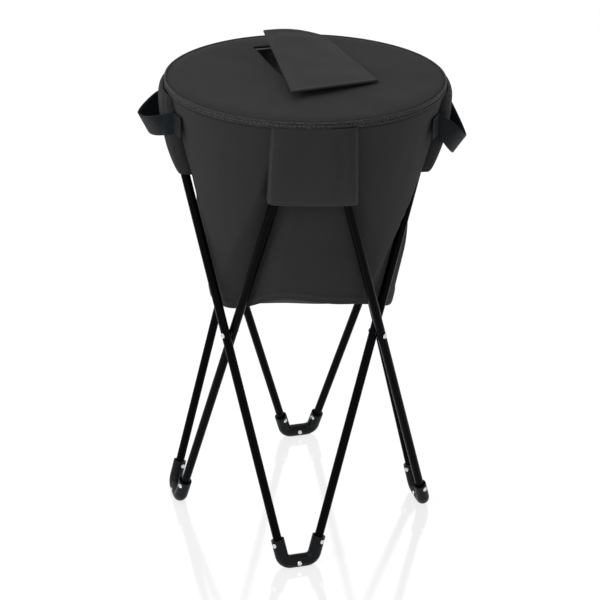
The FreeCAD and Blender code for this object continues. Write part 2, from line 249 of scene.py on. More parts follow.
class Graph:
    """A node tree of a material or world, built from expressions."""

    def __init__(self, owner):
        owner.use_nodes = True
        self.nodes = owner.node_tree.nodes
        self.links = owner.node_tree.links

    def node(self, kind, settings=None, inputs=None, output=0):
        node = self.nodes.new("ShaderNode" + kind)
        for key, value in (settings or {}).items():
            setattr(node, key, value)
        pairs = inputs.items() if isinstance(inputs, dict) else enumerate(inputs or [])
        for key, value in pairs:
            if isinstance(value, Value):
                self.links.new(value.socket, node.inputs[key])
            else:
                node.inputs[key].default_value = value
        return Value(self, node.outputs[output])

    def show(self, kind, shader):
        """Ends the tree in an output node."""
        self.links.new(shader.socket, self.nodes.new("ShaderNode" + kind).inputs[0])


class Finish(Graph):
    """A material whose Principled shader is fed by expressions."""

    def __init__(self, name, base, roughness, **sockets):
        self.material = bpy.data.materials.new(name)
        super().__init__(self.material)
        self.base = base
        self.shader = self.nodes["Principled BSDF"]
        self.shader.inputs["Base Color"].default_value = (*base, 1)
        self.shader.inputs["Roughness"].default_value = roughness
        for socket, value in sockets.items():
            self.shader.inputs[socket.replace("_", " ")].default_value = value

    def place(self, source="Object"):
        return self.node("TexCoord", output=source)

    def split(self, vector):
        return [self.node("SeparateXYZ", None, [vector], axis) for axis in ("X", "Y", "Z")]

    def noise(self, scale, detail):
        inputs = {"Vector": self.place(), "Scale": scale, "Detail": detail}
        return self.node("TexNoise", None, inputs, "Fac")

    def tint(self, mask, dark, light):
        """Feeds Base Color between two shades of the base by a mask."""
        shades = [(*shaded(self.base, times), 1) for times in (dark, light)]
        mixed = self.node("Mix", {"data_type": "RGBA"}, {0: mask, 6: shades[0], 7: shades[1]}, 2)
        self.links.new(mixed.socket, self.shader.inputs["Base Color"])

    def rough(self, mask, start, spread):
        """Feeds Roughness, which starts at a value and spreads by a mask."""
        self.links.new((mask * spread + start).socket, self.shader.inputs["Roughness"])

    def bump(self, height, distance, strength):
        inputs = {"Strength": strength, "Distance": distance, "Height": height}
        normal = self.node("Bump", None, inputs, "Normal")
        self.links.new(normal.socket, self.shader.inputs["Normal"])


def shaded(base, times):
    """A colour made darker or lighter."""
    return tuple(channel * times for channel in base)


# Woven cloth: its pitches, and the shares of its mottle, weave and stitches in shade and in height
WEAVE_PITCH = 0.0011
PIPING_PITCH = 0.0009
STITCH_PITCH = 0.0042
STITCH_HALF = 0.0005
STITCH_RUN = 0.68
BROAD_SHARE = 0.7
MOTTLE_SHADE = 0.8
MOTTLE_HEIGHT = 0.6
WEAVE_SHADE = 0.12
WEAVE_HEIGHT = 0.35
STITCH_SHADE = 0.8
STITCH_HEIGHT = 1.4
STITCH_LIGHT = 3


def woven(name, base, seams=(), pitch=WEAVE_PITCH, roughness=0.78, contrast=0.16, speckle=0.0):
    """Plain woven cloth on UV in metres, with stitched seams at given distances along u or v."""
    finish = Finish(name, base, roughness, Sheen_Weight=0.03, Sheen_Roughness=0.5, Specular_IOR_Level=0.08)
    across, along, _ = finish.split(finish.place("UV"))
    weave = across.wave(pitch) * along.wave(pitch)
    broad = finish.noise(scale=9.0, detail=4.0)
    fine = finish.noise(scale=120.0, detail=2.0)
    mottle = broad * BROAD_SHARE + fine * (1 - BROAD_SHARE)
    shade = mottle * MOTTLE_SHADE + weave * WEAVE_SHADE
    height = weave * WEAVE_HEIGHT + mottle * MOTTLE_HEIGHT
    light = 2 * contrast
    if speckle:
        shade = shade + (finish.noise(scale=520.0, detail=2.0) - 0.5) * speckle
    stitches = None
    for axis, distance in seams:
        line, run = (across, along) if axis == "u" else (along, across)
        dash = line.within(distance, STITCH_HALF) * run.share(STITCH_PITCH).below(STITCH_RUN)
        stitches = dash if stitches is None else stitches.most(dash)
    if stitches is not None:
        shade = shade / STITCH_LIGHT + stitches * STITCH_SHADE
        height = height + stitches * STITCH_HEIGHT
        light *= STITCH_LIGHT
    finish.tint(shade, 1 - contrast, 1 - contrast + light)
    finish.rough(mottle, start=roughness - 0.05, spread=0.10)
    finish.bump(height, distance=0.0006, strength=0.55)
    return finish.material


# Webbing: its ribs and yarns, and the thread of a sewn patch
RIB_PITCH = 0.0021
YARN_PITCH = 0.0032
RIB_SHADE = 0.3
WEBBING_MOTTLE = 0.6
SEWN_MOTTLE = 0.2
WEBBING_LIGHT = 1.7
SEWN_LIGHT = 5.5
BORDER_THREAD_HALF = 0.0006
CROSS_THREAD_HALF = 0.0008
THREAD_HEIGHT = 2.0
SEWN_SHADE = 0.5
SEWN_SQUARE = 0.38


def ribbed_webbing(name, base, sewn_half=0.0):
    """Flat webbing with ribs across it, and a sewn square with a cross in it where it has a size."""
    finish = Finish(name, base, roughness=0.62, Sheen_Weight=0.012, Specular_IOR_Level=0.09)
    across, along, _ = finish.split(finish.place("UV"))
    ribs = along.wave(RIB_PITCH) * 0.5 + across.wave(YARN_PITCH) * 0.5
    mottle = finish.noise(scale=60.0, detail=3.0)
    shade = ribs * RIB_SHADE + mottle * WEBBING_MOTTLE
    height = ribs
    light = WEBBING_LIGHT
    if sewn_half:
        side, up = across.size(), along.size()
        reach = side.most(up)
        border = reach.within(sewn_half, BORDER_THREAD_HALF)
        thread = border.most(side.within(up, CROSS_THREAD_HALF) * reach.below(sewn_half))
        shade = shade * SEWN_MOTTLE + thread
        height = height + thread * THREAD_HEIGHT
        light = SEWN_LIGHT
    finish.tint(shade, dark=0.72, light=light)
    finish.rough(mottle, start=0.52, spread=0.15)
    finish.bump(height, distance=0.0006, strength=0.6)
    return finish.material


def mottled(name, base, roughness, mottle, tint, rough, bump, grain=None, **sockets):
    """A finish whose shade and roughness follow one noise. Its bumps follow that noise, or a grain."""
    finish = Finish(name, base, roughness, **sockets)
    mask = finish.noise(*mottle)
    finish.tint(mask, *tint)
    finish.rough(mask, *rough)
    finish.bump(finish.noise(*grain) if grain else mask, *bump)
    return finish.material


def gloss_paint(name, base):
    return mottled(name, base, 0.22, mottle=(18.0, 3.0), tint=(0.8, 1.35), rough=(0.19, 0.10),
                   bump=(0.0002, 0.12), grain=(420.0, 2.0), Specular_IOR_Level=0.03)


def moulded_plastic(name, base):
    return mottled(name, base, 0.42, mottle=(40.0, 3.0), tint=(0.8, 1.5), rough=(0.36, 0.14),
                   bump=(0.0002, 0.25), grain=(900.0, 3.0), Specular_IOR_Level=0.13)


def bright_steel(name, base):
    return mottled(name, base, 0.25, mottle=(300.0, 5.0), tint=(0.75, 1.15), rough=(0.16, 0.2),
                   bump=(0.0001, 0.2), Metallic=1.0)


def lining_film(name, base):
    return mottled(name, base, 0.32, mottle=(28.0, 6.0), tint=(0.7, 1.15), rough=(0.22, 0.25),
                   bump=(0.002, 0.5), Specular_IOR_Level=0.6)


# Zip: the stretch of the rim's diameter for each tooth, and the middle and gain of the glints on the teeth
TOOTH_STEP = 0.0024
GLINT_MIDDLE = 0.35
GLINT_GAIN = 1.6


def zip_teeth(name, base):
    """Zip tape with a row of coil teeth round the rim, lightened by painted sheen and painted glints."""
    finish = Finish(name, base, roughness=0.5, Specular_IOR_Level=0.5)
    x, y, _ = finish.split(finish.place())
    turn = y.math("ARCTAN2", x)
    teeth = (turn * (2 * RIM_RADIUS / TOOTH_STEP)).math("SINE") * 0.5 + 0.5
    glints = (finish.noise(scale=480.0, detail=2.0) - GLINT_MIDDLE) * GLINT_GAIN
    # The teeth's stripes are the coil's own; their lightening up to 7.5 times the tape's colour is painted sheen,
    # and the glints are painted glints.
    finish.tint(teeth * 0.5 + glints, dark=0.6, light=7.5)
    finish.rough(teeth, start=0.5, spread=-0.15)
    finish.bump(teeth, distance=0.0012, strength=0.8)
    return finish.material


def smooth_step(value):
    value = min(1.0, max(0.0, value))
    return value * value * (3 - 2 * value)


def turn_of(vert):
    """Angle of a vertex round the axis, from 0 to a full turn."""
    return math.atan2(vert.co.y, vert.co.x) % math.tau


def set_uv(maker, marks, period):
    """Writes each vertex's mark as UV in metres. A period closes the seam of a round piece."""
    layer = maker.loops.layers.uv.verify()
    for face in maker.faces:
        high = max(marks[vert][0] for vert in face.verts)
        for loop in face.loops:
            u, v = marks[loop.vert]
            if period and high - u > period / 2:
                u += period
            loop[layer].uv = (u, v)


def add_object(name, data):
    added = bpy.data.objects.new(name, data)
    bpy.context.scene.collection.objects.link(added)
    return added


def new_piece(name, maker, marks, material, period=0.0, towards=None):
    """Makes a smooth object from a bmesh and its UV marks. A sheet's faces look towards a direction."""
    set_uv(maker, marks, period)
    bmesh.ops.recalc_face_normals(maker, faces=maker.faces[:])
    if towards is not None and sum(face.normal.dot(towards) * face.calc_area() for face in maker.faces) < 0:
        bmesh.ops.reverse_faces(maker, faces=maker.faces[:])
    mesh = bpy.data.meshes.new(name)
    maker.to_mesh(mesh)
    maker.free()
    mesh.materials.append(material)
    for polygon in mesh.polygons:
        polygon.use_smooth = True
    return add_object(name, mesh)


def thicken(piece, thickness, offset=-1.0):
    modifier = piece.modifiers.new("Thickness", "SOLIDIFY")
    modifier.thickness = thickness
    modifier.offset = offset
    modifier.use_even_offset = True


def apply_modifiers(piece):
    bpy.context.view_layer.update()
    evaluated = piece.evaluated_get(bpy.context.evaluated_depsgraph_get())
    mesh = bpy.data.meshes.new_from_object(evaluated)
    piece.modifiers.clear()
    old = piece.data
    piece.data = mesh
    bpy.data.meshes.remove(old)


def settle(piece, nodes, body=TUB_BODY):
    """Applies a soft piece's modifiers, hides the solids it stands for, gives it a mesh of its own and attaches it
    to its body.
    """
    apply_modifiers(piece)
    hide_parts(*nodes)
    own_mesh(piece)
    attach(piece, body)


def ring_stack(columns, rows):
    """Rings joined by quads, all in one place at first, with each vertex's row kept in a layer."""
    maker = bmesh.new()
    row_layer = maker.verts.layers.int.new("row")
    bmesh.ops.create_circle(maker, segments=columns, radius=1.0)
    edges = maker.edges[:]
    for row in range(1, rows + 1):
        made = bmesh.ops.extrude_edge_only(maker, edges=edges)["geom"]
        edges = [item for item in made if isinstance(item, bmesh.types.BMEdge)]
        for vert in [item for item in made if isinstance(item, bmesh.types.BMVert)]:
            vert[row_layer] = row
    return maker, row_layer


def close_stack(maker, row_layer, rows):
    """Fills the last ring of a stack."""
    last = [edge for edge in maker.edges if all(vert[row_layer] == rows for vert in edge.verts)]
    bmesh.ops.contextual_create(maker, geom=last)


# Wall: how it meets the rim, the sockets and the chord between a hub's legs
RIM_INSET = 0.001
SOCKET_BLEND = 0.07
DRAW_POWER = 1.5
CHORD_SLACK = 0.003
GATHER_DROP = 0.014
BISECTIONS = 24
SEAM_WALKS = 12

# Soft waves: where they fade, then each kind's scale round the wall, scale upwards and share
RIM_FADE = 0.10
SEAM_FADE = 0.05
SOFT_WAVES = ((2.6, 4.0, 1.2), (7.0, 9.0, 0.5))


def leg_shift(z):
    """How far along its pair a leg has leaned at a height, from the crossing."""
    return math.tan(sizes().lean) * abs(z - sizes().cross_height)


def taut_radius(z):
    """Radius of the cone that the wall makes between rim and floor."""
    s = sizes()
    share = (z - s.floor_low) / (RIM_Z - s.floor_low)
    return s.floor_radius + (RIM_RADIUS - RIM_INSET - s.floor_radius) * share


def from_nearest_hub(angle):
    """An angle measured from the hub that it is nearest to."""
    return (angle + math.pi / 4) % (math.pi / 2) - math.pi / 4


def wall_radius(angle, z):
    """Radius of the tub's wall: taut between rim and floor, and drawn in where a leg passes."""
    s = sizes()
    shift = leg_shift(z)
    taut = taut_radius(z)
    near = smooth_step((z - s.socket_height + SOCKET_BLEND) / SOCKET_BLEND)
    around = s.tube_radius + (s.hub_radius - s.tube_radius) * near
    fall = 1 - min(1.0, max(0.0, (z - s.floor_low) / (RIM_Z - s.floor_low)))
    reach = s.top_reach + (s.low_reach - s.top_reach) * fall ** 2
    radius = taut
    contacts = []
    for offset, way in ((s.inner_offset, -1), (s.outer_offset, 1)):
        leg_radius = math.hypot(offset, shift)
        leg_angle = way * (math.pi / 4 - math.atan2(shift, offset))
        apart = abs(from_nearest_hub(angle - leg_angle))
        pinch = leg_radius - around - s.leg_clearance
        away = min(1.0, apart * leg_radius / reach)
        radius = min(radius, pinch + (taut - pinch) * away ** DRAW_POWER)
        contacts.append((pinch * math.sin(leg_angle), pinch * math.cos(leg_angle)))
    (left, left_out), (right, right_out) = contacts
    turn = from_nearest_hub(angle)
    slope = (right_out - left_out) / (right - left)
    chord = (left_out - slope * left) / (math.cos(turn) - slope * math.sin(turn))
    if left < chord * math.sin(turn) < right:
        flat = smooth_step((z - s.flat_low) / (s.flat_high - s.flat_low))
        radius += (min(radius, chord + CHORD_SLACK) - radius) * flat
    gather = smooth_step((z - RIM_Z + GATHER_DROP) / GATHER_DROP)
    return radius + (taut - radius) * gather


@functools.lru_cache(maxsize=None)
def wall_out(across, z):
    """How far out the wall is, at a distance to the side of a hub's middle."""
    low, high = 0.0, RIM_RADIUS
    for _ in range(BISECTIONS):
        out = (low + high) / 2
        if math.hypot(across, out) < wall_radius(math.atan2(across, out) - math.pi / 2, z):
            low = out
        else:
            high = out
    return out


def trough_height(y):
    """Height of the floor's round trough, which runs from left to right."""
    s = sizes()
    return s.seam_low + s.trough_radius - math.sqrt(s.trough_radius ** 2 - y ** 2)


@functools.lru_cache(maxsize=None)
def seam_point(angle):
    """Height and radius of the wall's lower seam, found by walking out to the wall."""
    z = sizes().seam_low
    for _ in range(SEAM_WALKS):
        radius = wall_radius(angle, z)
        z = trough_height(radius * math.sin(angle))
    return z, radius


def forget_wall():
    """Drops what was worked out for the wall, because its sizes may have changed."""
    wall_out.cache_clear()
    seam_point.cache_clear()


def soft_waves(angle, z):
    """Slow waves in hanging cloth, fading out at the rim and the seam."""
    s = sizes()
    fade = smooth_step((RIM_Z - z) / RIM_FADE) * smooth_step((z - s.seam_low) / SEAM_FADE)
    waves = 0.0
    for turns, climb, share in SOFT_WAVES:
        place = (math.cos(angle) * turns, math.sin(angle) * turns, z * climb)
        waves += share * noise.noise(Vector(place))
    return s.wrinkle * fade * waves


# Pockets: their front over the hub and the tubes
POCKET_CLEARANCE = 0.0008
POCKET_TOP_PROUD = 0.0012
POCKET_TOP_ROUND = 0.985
TUBE_COVER = 0.004
FACE_POWER = 0.8


def pocket_face(z):
    """Radius of a pocket's front: round over the hub's bar, then in along the tubes."""
    s = sizes()
    bar_z = HUB_TOP - s.hub_radius
    face = HUB_REACH + POCKET_CLEARANCE
    if z >= bar_z:
        rise = min(1.0, (z - bar_z) / (RIM_Z - bar_z))
        drawn = 1 - math.sqrt(1 - (rise * POCKET_TOP_ROUND) ** 2)
        return face - (face - RIM_RADIUS - POCKET_TOP_PROUD) * drawn
    low_face = (s.outer_offset + leg_shift(POCKET_LOW)) / math.sqrt(2) + s.tube_radius + TUBE_COVER
    share = math.sin(math.pi / 2 * max(0.0, (z - POCKET_LOW) / (bar_z - POCKET_LOW))) ** FACE_POWER
    return low_face + (face - low_face) * share


def up_pocket(low, top, z):
    """A size that changes evenly from a pocket's lower edge to the rim."""
    return low + (top - low) * (z - POCKET_LOW) / (RIM_Z - POCKET_LOW)


def pocket_half(z):
    return up_pocket(sizes().pocket_half_low, sizes().pocket_half_top, z)


def pocket_depth(u, z):
    """How far out a pocket is: a rounded swell over the hub, sewn to the wall along its sides."""
    s = sizes()
    across = s.pocket_middle + math.copysign(pocket_half(z), u)
    seam = wall_out(across, z) - s.seam_sink
    full = up_pocket(s.low_fullness, s.top_fullness, z)
    swell = max(0.0, 1 - abs(u) ** full) ** (1 / full)
    return seam + max(0.0, pocket_face(z) - seam) * swell


class TUB_OT_wall(Operator):
    """Makes the tub's outer wall with its hem, and the lining inside it"""
    bl_idname = "tub.wall"
    bl_label = "Tub Wall"

    hem_waves = 6
    hem_turn = math.radians(18)
    hem_stitches = (("v", 0.0095), ("v", 0.0125))
    row_power = 1.25
    cloth_girth = 1.2
    lining_inset = 0.0075
    lining_thickness = 0.0015

    def wall(self, name, inset, material, hem, rows):
        s = sizes()
        girth = s.floor_radius * self.cloth_girth
        maker, row_layer = ring_stack(s.columns, rows)
        marks = {}
        for vert in maker.verts:
            angle = turn_of(vert)
            low, _ = seam_point(angle)
            share = vert[row_layer] / rows
            if hem:
                low -= s.hem_drop * (1 - math.sin(self.hem_waves * angle + self.hem_turn)) / 2
                share = share ** self.row_power
            z = low + (RIM_Z - low) * share
            radius = wall_radius(angle, z) - inset + soft_waves(angle, z)
            if hem and z - low < s.hem_height:
                radius += s.hem_rise
            marks[vert] = (angle * girth, z - low)
            vert.co = (radius * math.cos(angle), radius * math.sin(angle), z)
        return new_piece(name, maker, marks, material, math.tau * girth)

    def execute(self, context):
        forget_wall()
        s = sizes()
        cloth = woven("tub cloth", finishes().cloth, self.hem_stitches)
        wall = self.wall("tub_shell", 0.0, cloth, True, s.rows)
        thicken(wall, s.wall_thickness)
        settle(wall, ["tub_wall"])
        film = lining_film("tub lining", finishes().lining)
        lining = self.wall("tub_lining", self.lining_inset, film, False, s.rows // 2)
        thicken(lining, self.lining_thickness)
        settle(lining, ["tub_liner"])
        return {"FINISHED"}


class TUB_OT_floor(Operator):
    """Makes the tub's floor, a padded trough sewn to the wall's lower edge"""
    bl_idname = "tub.floor"
    bl_label = "Tub Floor"

    rings = 24
    inward = 0.992
    lift = 0.0006
    puff = 0.0022
    puff_scale = 14
    thickness = 0.0036

    def execute(self, context):
        forget_wall()
        maker, row_layer = ring_stack(sizes().columns // 2, self.rings)
        marks = {}
        for vert in maker.verts:
            angle = turn_of(vert)
            share = vert[row_layer] / self.rings
            _, edge = seam_point(angle)
            radius = edge * (1 - self.inward * share)
            x = radius * math.cos(angle)
            y = radius * math.sin(angle)
            puff = self.puff * math.sin(math.pi * share) * noise.noise(Vector((x, y, 0)) * self.puff_scale)
            vert.co = (x, y, trough_height(y) + self.lift + puff)
            marks[vert] = (x, y)
        close_stack(maker, row_layer, self.rings)
        piece = new_piece("tub_base", maker, marks, woven("base cloth", finishes().cloth), towards=-UP)
        thicken(piece, self.thickness)
        settle(piece, ["tub_floor"])
        return {"FINISHED"}


class TUB_OT_pockets(Operator):
    """Makes the four pockets that hang the tub on the top hubs"""
    bl_idname = "tub.pockets"
    bl_label = "Hub Pockets"

    columns = 64
    rows = 40
    thickness = 0.0012
    cloth_half = 0.0718
    hem_stitch = 0.008
    side_stitch = 0.004
    ripple_depth = 0.0016
    ripple_across = 22
    ripple_up = 17
    ripple_seed = 7
    ripple_layer = 3.0
    crease_depth = 0.0032
    crease_place = 0.55
    crease_sway = 0.10
    crease_waves = 5
    crease_half = 0.12
    crease_fade = 0.7

    def dents(self, u, v, across, z, seed):
        """How far a pocket's cloth ripples outwards, less the crease down its right side."""
        fade = math.sin(math.pi * v)
        place = (across * self.ripple_across + self.ripple_seed * seed, z * self.ripple_up, self.ripple_layer)
        ripple = self.ripple_depth * noise.noise(Vector(place)) * fade * (1 - u * u)
        bend = self.crease_place + self.crease_sway * math.sin(self.crease_waves * v + seed)
        crease = math.exp(-((u - bend) / self.crease_half) ** 2) * fade ** self.crease_fade
        return ripple - self.crease_depth * crease

    def pocket(self, side, cloth):
        turn = Matrix.Rotation(TURN_OF_SIDE[side], 3, "Z")
        maker = bmesh.new()
        bmesh.ops.create_grid(maker, x_segments=self.columns, y_segments=self.rows, size=0.5)
        marks = {}
        for vert in maker.verts:
            u = vert.co.x * 2
            v = vert.co.y + 0.5
            z = POCKET_LOW + (RIM_Z - POCKET_LOW) * v
            across = sizes().pocket_middle + u * pocket_half(z)
            depth = pocket_depth(u, z) + self.dents(u, v, across, z, len(side))
            marks[vert] = ((u + 1) * self.cloth_half, v * (RIM_Z - POCKET_LOW))
            vert.co = (across, -depth, z)
        bmesh.ops.rotate(maker, verts=maker.verts, cent=(0, 0, 0), matrix=turn)
        outward = turn @ Vector((0, -1, 0))
        piece = new_piece(side + "_pocket_cloth", maker, marks, cloth, towards=outward)
        thicken(piece, self.thickness, 1.0)
        settle(piece, [side + "_pocket"])

    def execute(self, context):
        forget_wall()
        far_stitch = 2 * self.cloth_half - self.side_stitch
        seams = [("v", self.hem_stitch), ("u", self.side_stitch), ("u", far_stitch)]
        cloth = woven("pocket cloth", finishes().cloth, seams)
        for side in SIDES:
            self.pocket(side, cloth)
        return {"FINISHED"}


def spun_ring(name, profile, radius, material, steps=240):
    """A ring spun from a profile of (outward, up) points at a radius."""
    maker = bmesh.new()
    verts = [maker.verts.new((radius + out, 0, up)) for out, up in profile]
    edges = [maker.edges.new((a, b)) for a, b in zip(verts, verts[1:] + verts[:1])]
    bmesh.ops.spin(maker, geom=verts + edges, cent=(0, 0, 0), axis=(0, 0, 1), dvec=(0, 0, 0),
                   angle=math.tau, steps=steps, use_merge=True)
    bmesh.ops.remove_doubles(maker, verts=maker.verts[:], dist=MERGE_DISTANCE)
    marks = {vert: (turn_of(vert) * radius, vert.co.z + vert.co.xy.length) for vert in maker.verts}
    return new_piece(name, maker, marks, material, math.tau * radius)


def round_profile(radius, height, points=10):
    turns = [math.tau * step / points for step in range(points)]
    return [(radius * math.cos(turn), height + radius * math.sin(turn)) for turn in turns]


class TUB_OT_rim(Operator):
    """Makes the rim: its tape, the zip's two sides and the piping along the edges"""
    bl_idname = "tub.rim"
    bl_label = "Rim And Zip"

    tape_width = 0.044
    tape_stitch = 0.010
    # outward and up: two points from the tape's lower edge, and one from its upper edge
    tape_low_edge = ((-0.002, -0.0002), (0.0, 0.0006))
    tape_top_edge = (-0.0008, -0.0001)
    zip_width = 0.005
    zip_gap = 0.0003
    # outward and away: two points from the zip's sewn edge
    zip_sewn_edge = ((-0.0012, 0.0), (-0.0004, 0.001))
    zip_mesh_inset = 0.0010
    piping_radius = 0.0021
    piping_proud = 0.0002
    # How much lighter the piping's cloth is than the tub's: a painted highlight along the cords.
    piping_highlight = 1.5
    rim_piping_drop = 0.0006
    lid_piping_lift = 0.0012

    def tape_profile(self, low, high):
        """The flat tape, with its outer edge turned over."""
        edge = [(out, low + up) for out, up in self.tape_low_edge]
        out, up = self.tape_top_edge
        return [(-self.tape_width, low), *edge, (out, high + up), (-self.tape_width, high + up)]

    def zip_profile(self, sewn, mesh, way):
        """One side of the zip, from its sewn edge to the edge that meshes with the other side."""
        edge = [(out, sewn + way * away) for out, away in self.zip_sewn_edge]
        return [(-self.zip_width, sewn), *edge, (-self.zip_mesh_inset, mesh), (-self.zip_width, mesh)]

    def execute(self, context):
        low, tape_top = [corner.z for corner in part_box("rim_tape")]
        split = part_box("lower_zip_tape")[1].z
        lid_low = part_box("upper_zip_tape")[1].z
        cloth = woven("rim cloth", finishes().cloth, (("v", RIM_Z + RIM_RADIUS - self.tape_stitch),))
        # The piping's cloth is the tub's cloth made lighter: a painted highlight along the cords.
        piping = woven("rim piping cloth", shaded(finishes().cloth, self.piping_highlight), (), PIPING_PITCH,
                       roughness=0.6, contrast=0.75, speckle=3.0)
        teeth = zip_teeth("zip teeth", finishes().zip_dark)
        tape = spun_ring("rim_band", self.tape_profile(low, tape_top), RIM_RADIUS, cloth)
        settle(tape, ["rim_tape"])
        lower = spun_ring("zip_lower", self.zip_profile(tape_top, split, 1), RIM_RADIUS, teeth)
        settle(lower, ["lower_zip_tape"])
        upper_profile = self.zip_profile(lid_low, split + self.zip_gap, -1)
        upper = spun_ring("zip_upper", upper_profile[::-1], RIM_RADIUS, teeth)
        settle(upper, ["upper_zip_tape"], "lid")
        for name, height, body in (("rim_piping", tape_top - self.rim_piping_drop, TUB_BODY),
                                   ("lid_piping", lid_low + self.lid_piping_lift, "lid")):
            profile = round_profile(self.piping_radius, height)
            cord = spun_ring(name, profile, RIM_RADIUS + self.piping_proud, piping)
            settle(cord, [], body)
        return {"FINISHED"}


class TUB_OT_lid(Operator):
    """Makes the lid with its rolled edge and hatch, and the lining under it"""
    bl_idname = "tub.lid"
    bl_label = "Lid"

    edge_inset = 0.0006
    top_drop = 0.0008
    rings = 44
    columns = 216
    inward = 0.995
    ring_power = 0.9
    sag_share = 0.9
    # scale across, scale along, layer of noise and share of each kind of wave
    waves = ((9, 9, 1.7, 0.7), (24, 16, 5.1, 0.35))
    lining_inset = 0.008
    lining_lift = 0.0004
    lining_rings = 18
    lining_columns = 120
    lining_thickness = 0.0012
    lining_wave = 0.0006
    lining_wave_scale = 30

    def disc(self, radius, rings, columns):
        """A flat disc of rings with the hatch cut out of it."""
        size = lid_sizes()
        maker, row_layer = ring_stack(columns, rings)
        for vert in maker.verts:
            share = vert[row_layer] / rings
            vert.co = vert.co.normalized() * (radius * (1 - self.inward * share ** self.ring_power))
        close_stack(maker, row_layer, rings)
        turn = Matrix.Rotation(size.hatch_turn, 3, "Z")
        centre = Vector((size.hatch_x, size.hatch_y, 0))
        half_width, half_length = size.hatch_width / 2, size.hatch_length / 2
        for axis, half in ((turn @ Vector((1, 0, 0)), half_width), (turn @ Vector((0, 1, 0)), half_length)):
            for way in (-1, 1):
                whole = maker.verts[:] + maker.edges[:] + maker.faces[:]
                bmesh.ops.bisect_plane(maker, geom=whole, dist=MERGE_DISTANCE, plane_no=axis,
                                       plane_co=centre + axis * half * way)
        inside = []
        for face in maker.faces:
            place = (face.calc_center_median() - centre) @ turn
            if abs(place.x) < half_width and abs(place.y) < half_length:
                inside.append(face)
        bmesh.ops.delete(maker, geom=inside, context="FACES")
        return maker

    def height(self, point):
        """Height of the lid's top: rolled at the edge, dipping and waving inside."""
        size = lid_sizes()
        reach = point.xy.length
        edge = smooth_step((RIM_RADIUS - reach) / size.roll)
        roll = size.crown * (1 - math.sqrt(1 - (1 - edge) ** 2)) if edge < 1 else 0.0
        middle = 1 - smooth_step(reach / (RIM_RADIUS * self.sag_share))
        waves = sum(share * noise.noise(Vector((point.x * across, point.y * along, layer)))
                    for across, along, layer, share in self.waves)
        return LID_TOP - roll - size.sag * middle + size.wrinkle * waves * edge - self.top_drop

    def top(self):
        maker = self.disc(RIM_RADIUS - self.edge_inset, self.rings, self.columns)
        for vert in maker.verts:
            vert.co.z = self.height(vert.co)
        marks = {vert: vert.co.xy for vert in maker.verts}
        # The lid top's cloth carries painted shade: a darker copy of the tub's cloth.
        top = new_piece("lid_top", maker, marks, woven("lid cloth", finishes().shaded_lid_cloth), towards=UP)
        thicken(top, lid_sizes().thickness)
        settle(top, ["lid_panel"], "lid")

    def lining(self):
        maker = self.disc(RIM_RADIUS - self.lining_inset, self.lining_rings, self.lining_columns)
        for vert in maker.verts:
            wave = self.lining_wave * noise.noise(vert.co * self.lining_wave_scale)
            vert.co.z = LID_EDGE + self.lining_lift + wave
        marks = {vert: vert.co.xy for vert in maker.verts}
        under = new_piece("lid_underside", maker, marks, lining_film("lid lining", finishes().lining))
        thicken(under, self.lining_thickness)
        settle(under, ["lid_lining"], "lid")

    def execute(self, context):
        self.top()
        self.lining()
        return {"FINISHED"}


class TUB_OT_flap(Operator):
    """Makes the padded hatch flap, hinged along its right side and lifted at its free back corner"""
    bl_idname = "tub.flap"
    bl_label = "Hatch Flap"

    columns = 52
    rows = 84
    # How much lighter the flap's cloth is than the lid's: painted light on the flap.
    painted_light_gain = 1.5
    hinge_sink = 0.0036
    stitch_inset = 0.009
    binding_rise = 0.0011
    binding_width = 0.0085
    binding_step = 0.0015
    pad_rise = 0.0022
    pad_reach = 0.05
    wave_depth = 0.0016
    wave_reach = 0.02
    waves_across = 3.1
    waves_along = 5.3
    wave_layer = 9.0

    def place(self, u, v):
        """A point of the flap before it is padded: u runs to the hinge and v to the back."""
        size = lid_sizes()
        front = Vector(size.free_front).lerp(Vector(size.hinge_front), u)
        back = Vector(size.free_back).lerp(Vector(size.hinge_back), u)
        lift = Vector((0, 0, size.hump * math.sin(math.pi * u) * v * v))
        return front.lerp(back, v) + lift

    def padding(self, u, v):
        """How far the flap's cloth rises at a point: its binding, its pad and its waves."""
        size = lid_sizes()
        border = min(min(u, 1 - u) * size.flap_width, min(v, 1 - v) * size.flap_length)
        binding = self.binding_rise * (1 - smooth_step((border - self.binding_width) / self.binding_step))
        pad = self.pad_rise * smooth_step(border / self.pad_reach)
        wave = noise.noise(Vector((u * self.waves_across, v * self.waves_along, self.wave_layer)))
        return binding + pad + self.wave_depth * wave * smooth_step(border / self.wave_reach)

    def execute(self, context):
        size = lid_sizes()
        width, length = size.flap_width, size.flap_length
        hinge_z = joint_named("flap_open")["pos_m"][2] - self.hinge_sink
        maker = bmesh.new()
        bmesh.ops.create_grid(maker, x_segments=self.columns, y_segments=self.rows, size=0.5)
        marks = {}
        for vert in maker.verts:
            u = vert.co.x + 0.5
            v = vert.co.y + 0.5
            marks[vert] = (u * width, v * length)
            place = self.place(u, v)
            vert.co = (place.x, place.y, hinge_z + place.z + self.padding(u, v) + size.flap_thickness)
        inset = self.stitch_inset
        seams = [("u", inset), ("u", width - inset), ("v", inset), ("v", length - inset)]
        # The flap's cloth is the lid's cloth, itself painted shade, made 1.5 times lighter: painted light.
        cloth = woven("flap cloth", shaded(finishes().shaded_lid_cloth, self.painted_light_gain), seams)
        piece = new_piece("flap_cloth", maker, marks, cloth, towards=UP)
        thicken(piece, size.flap_thickness)
        settle(piece, ["hatch_flap"], "flap")
        return {"FINISHED"}


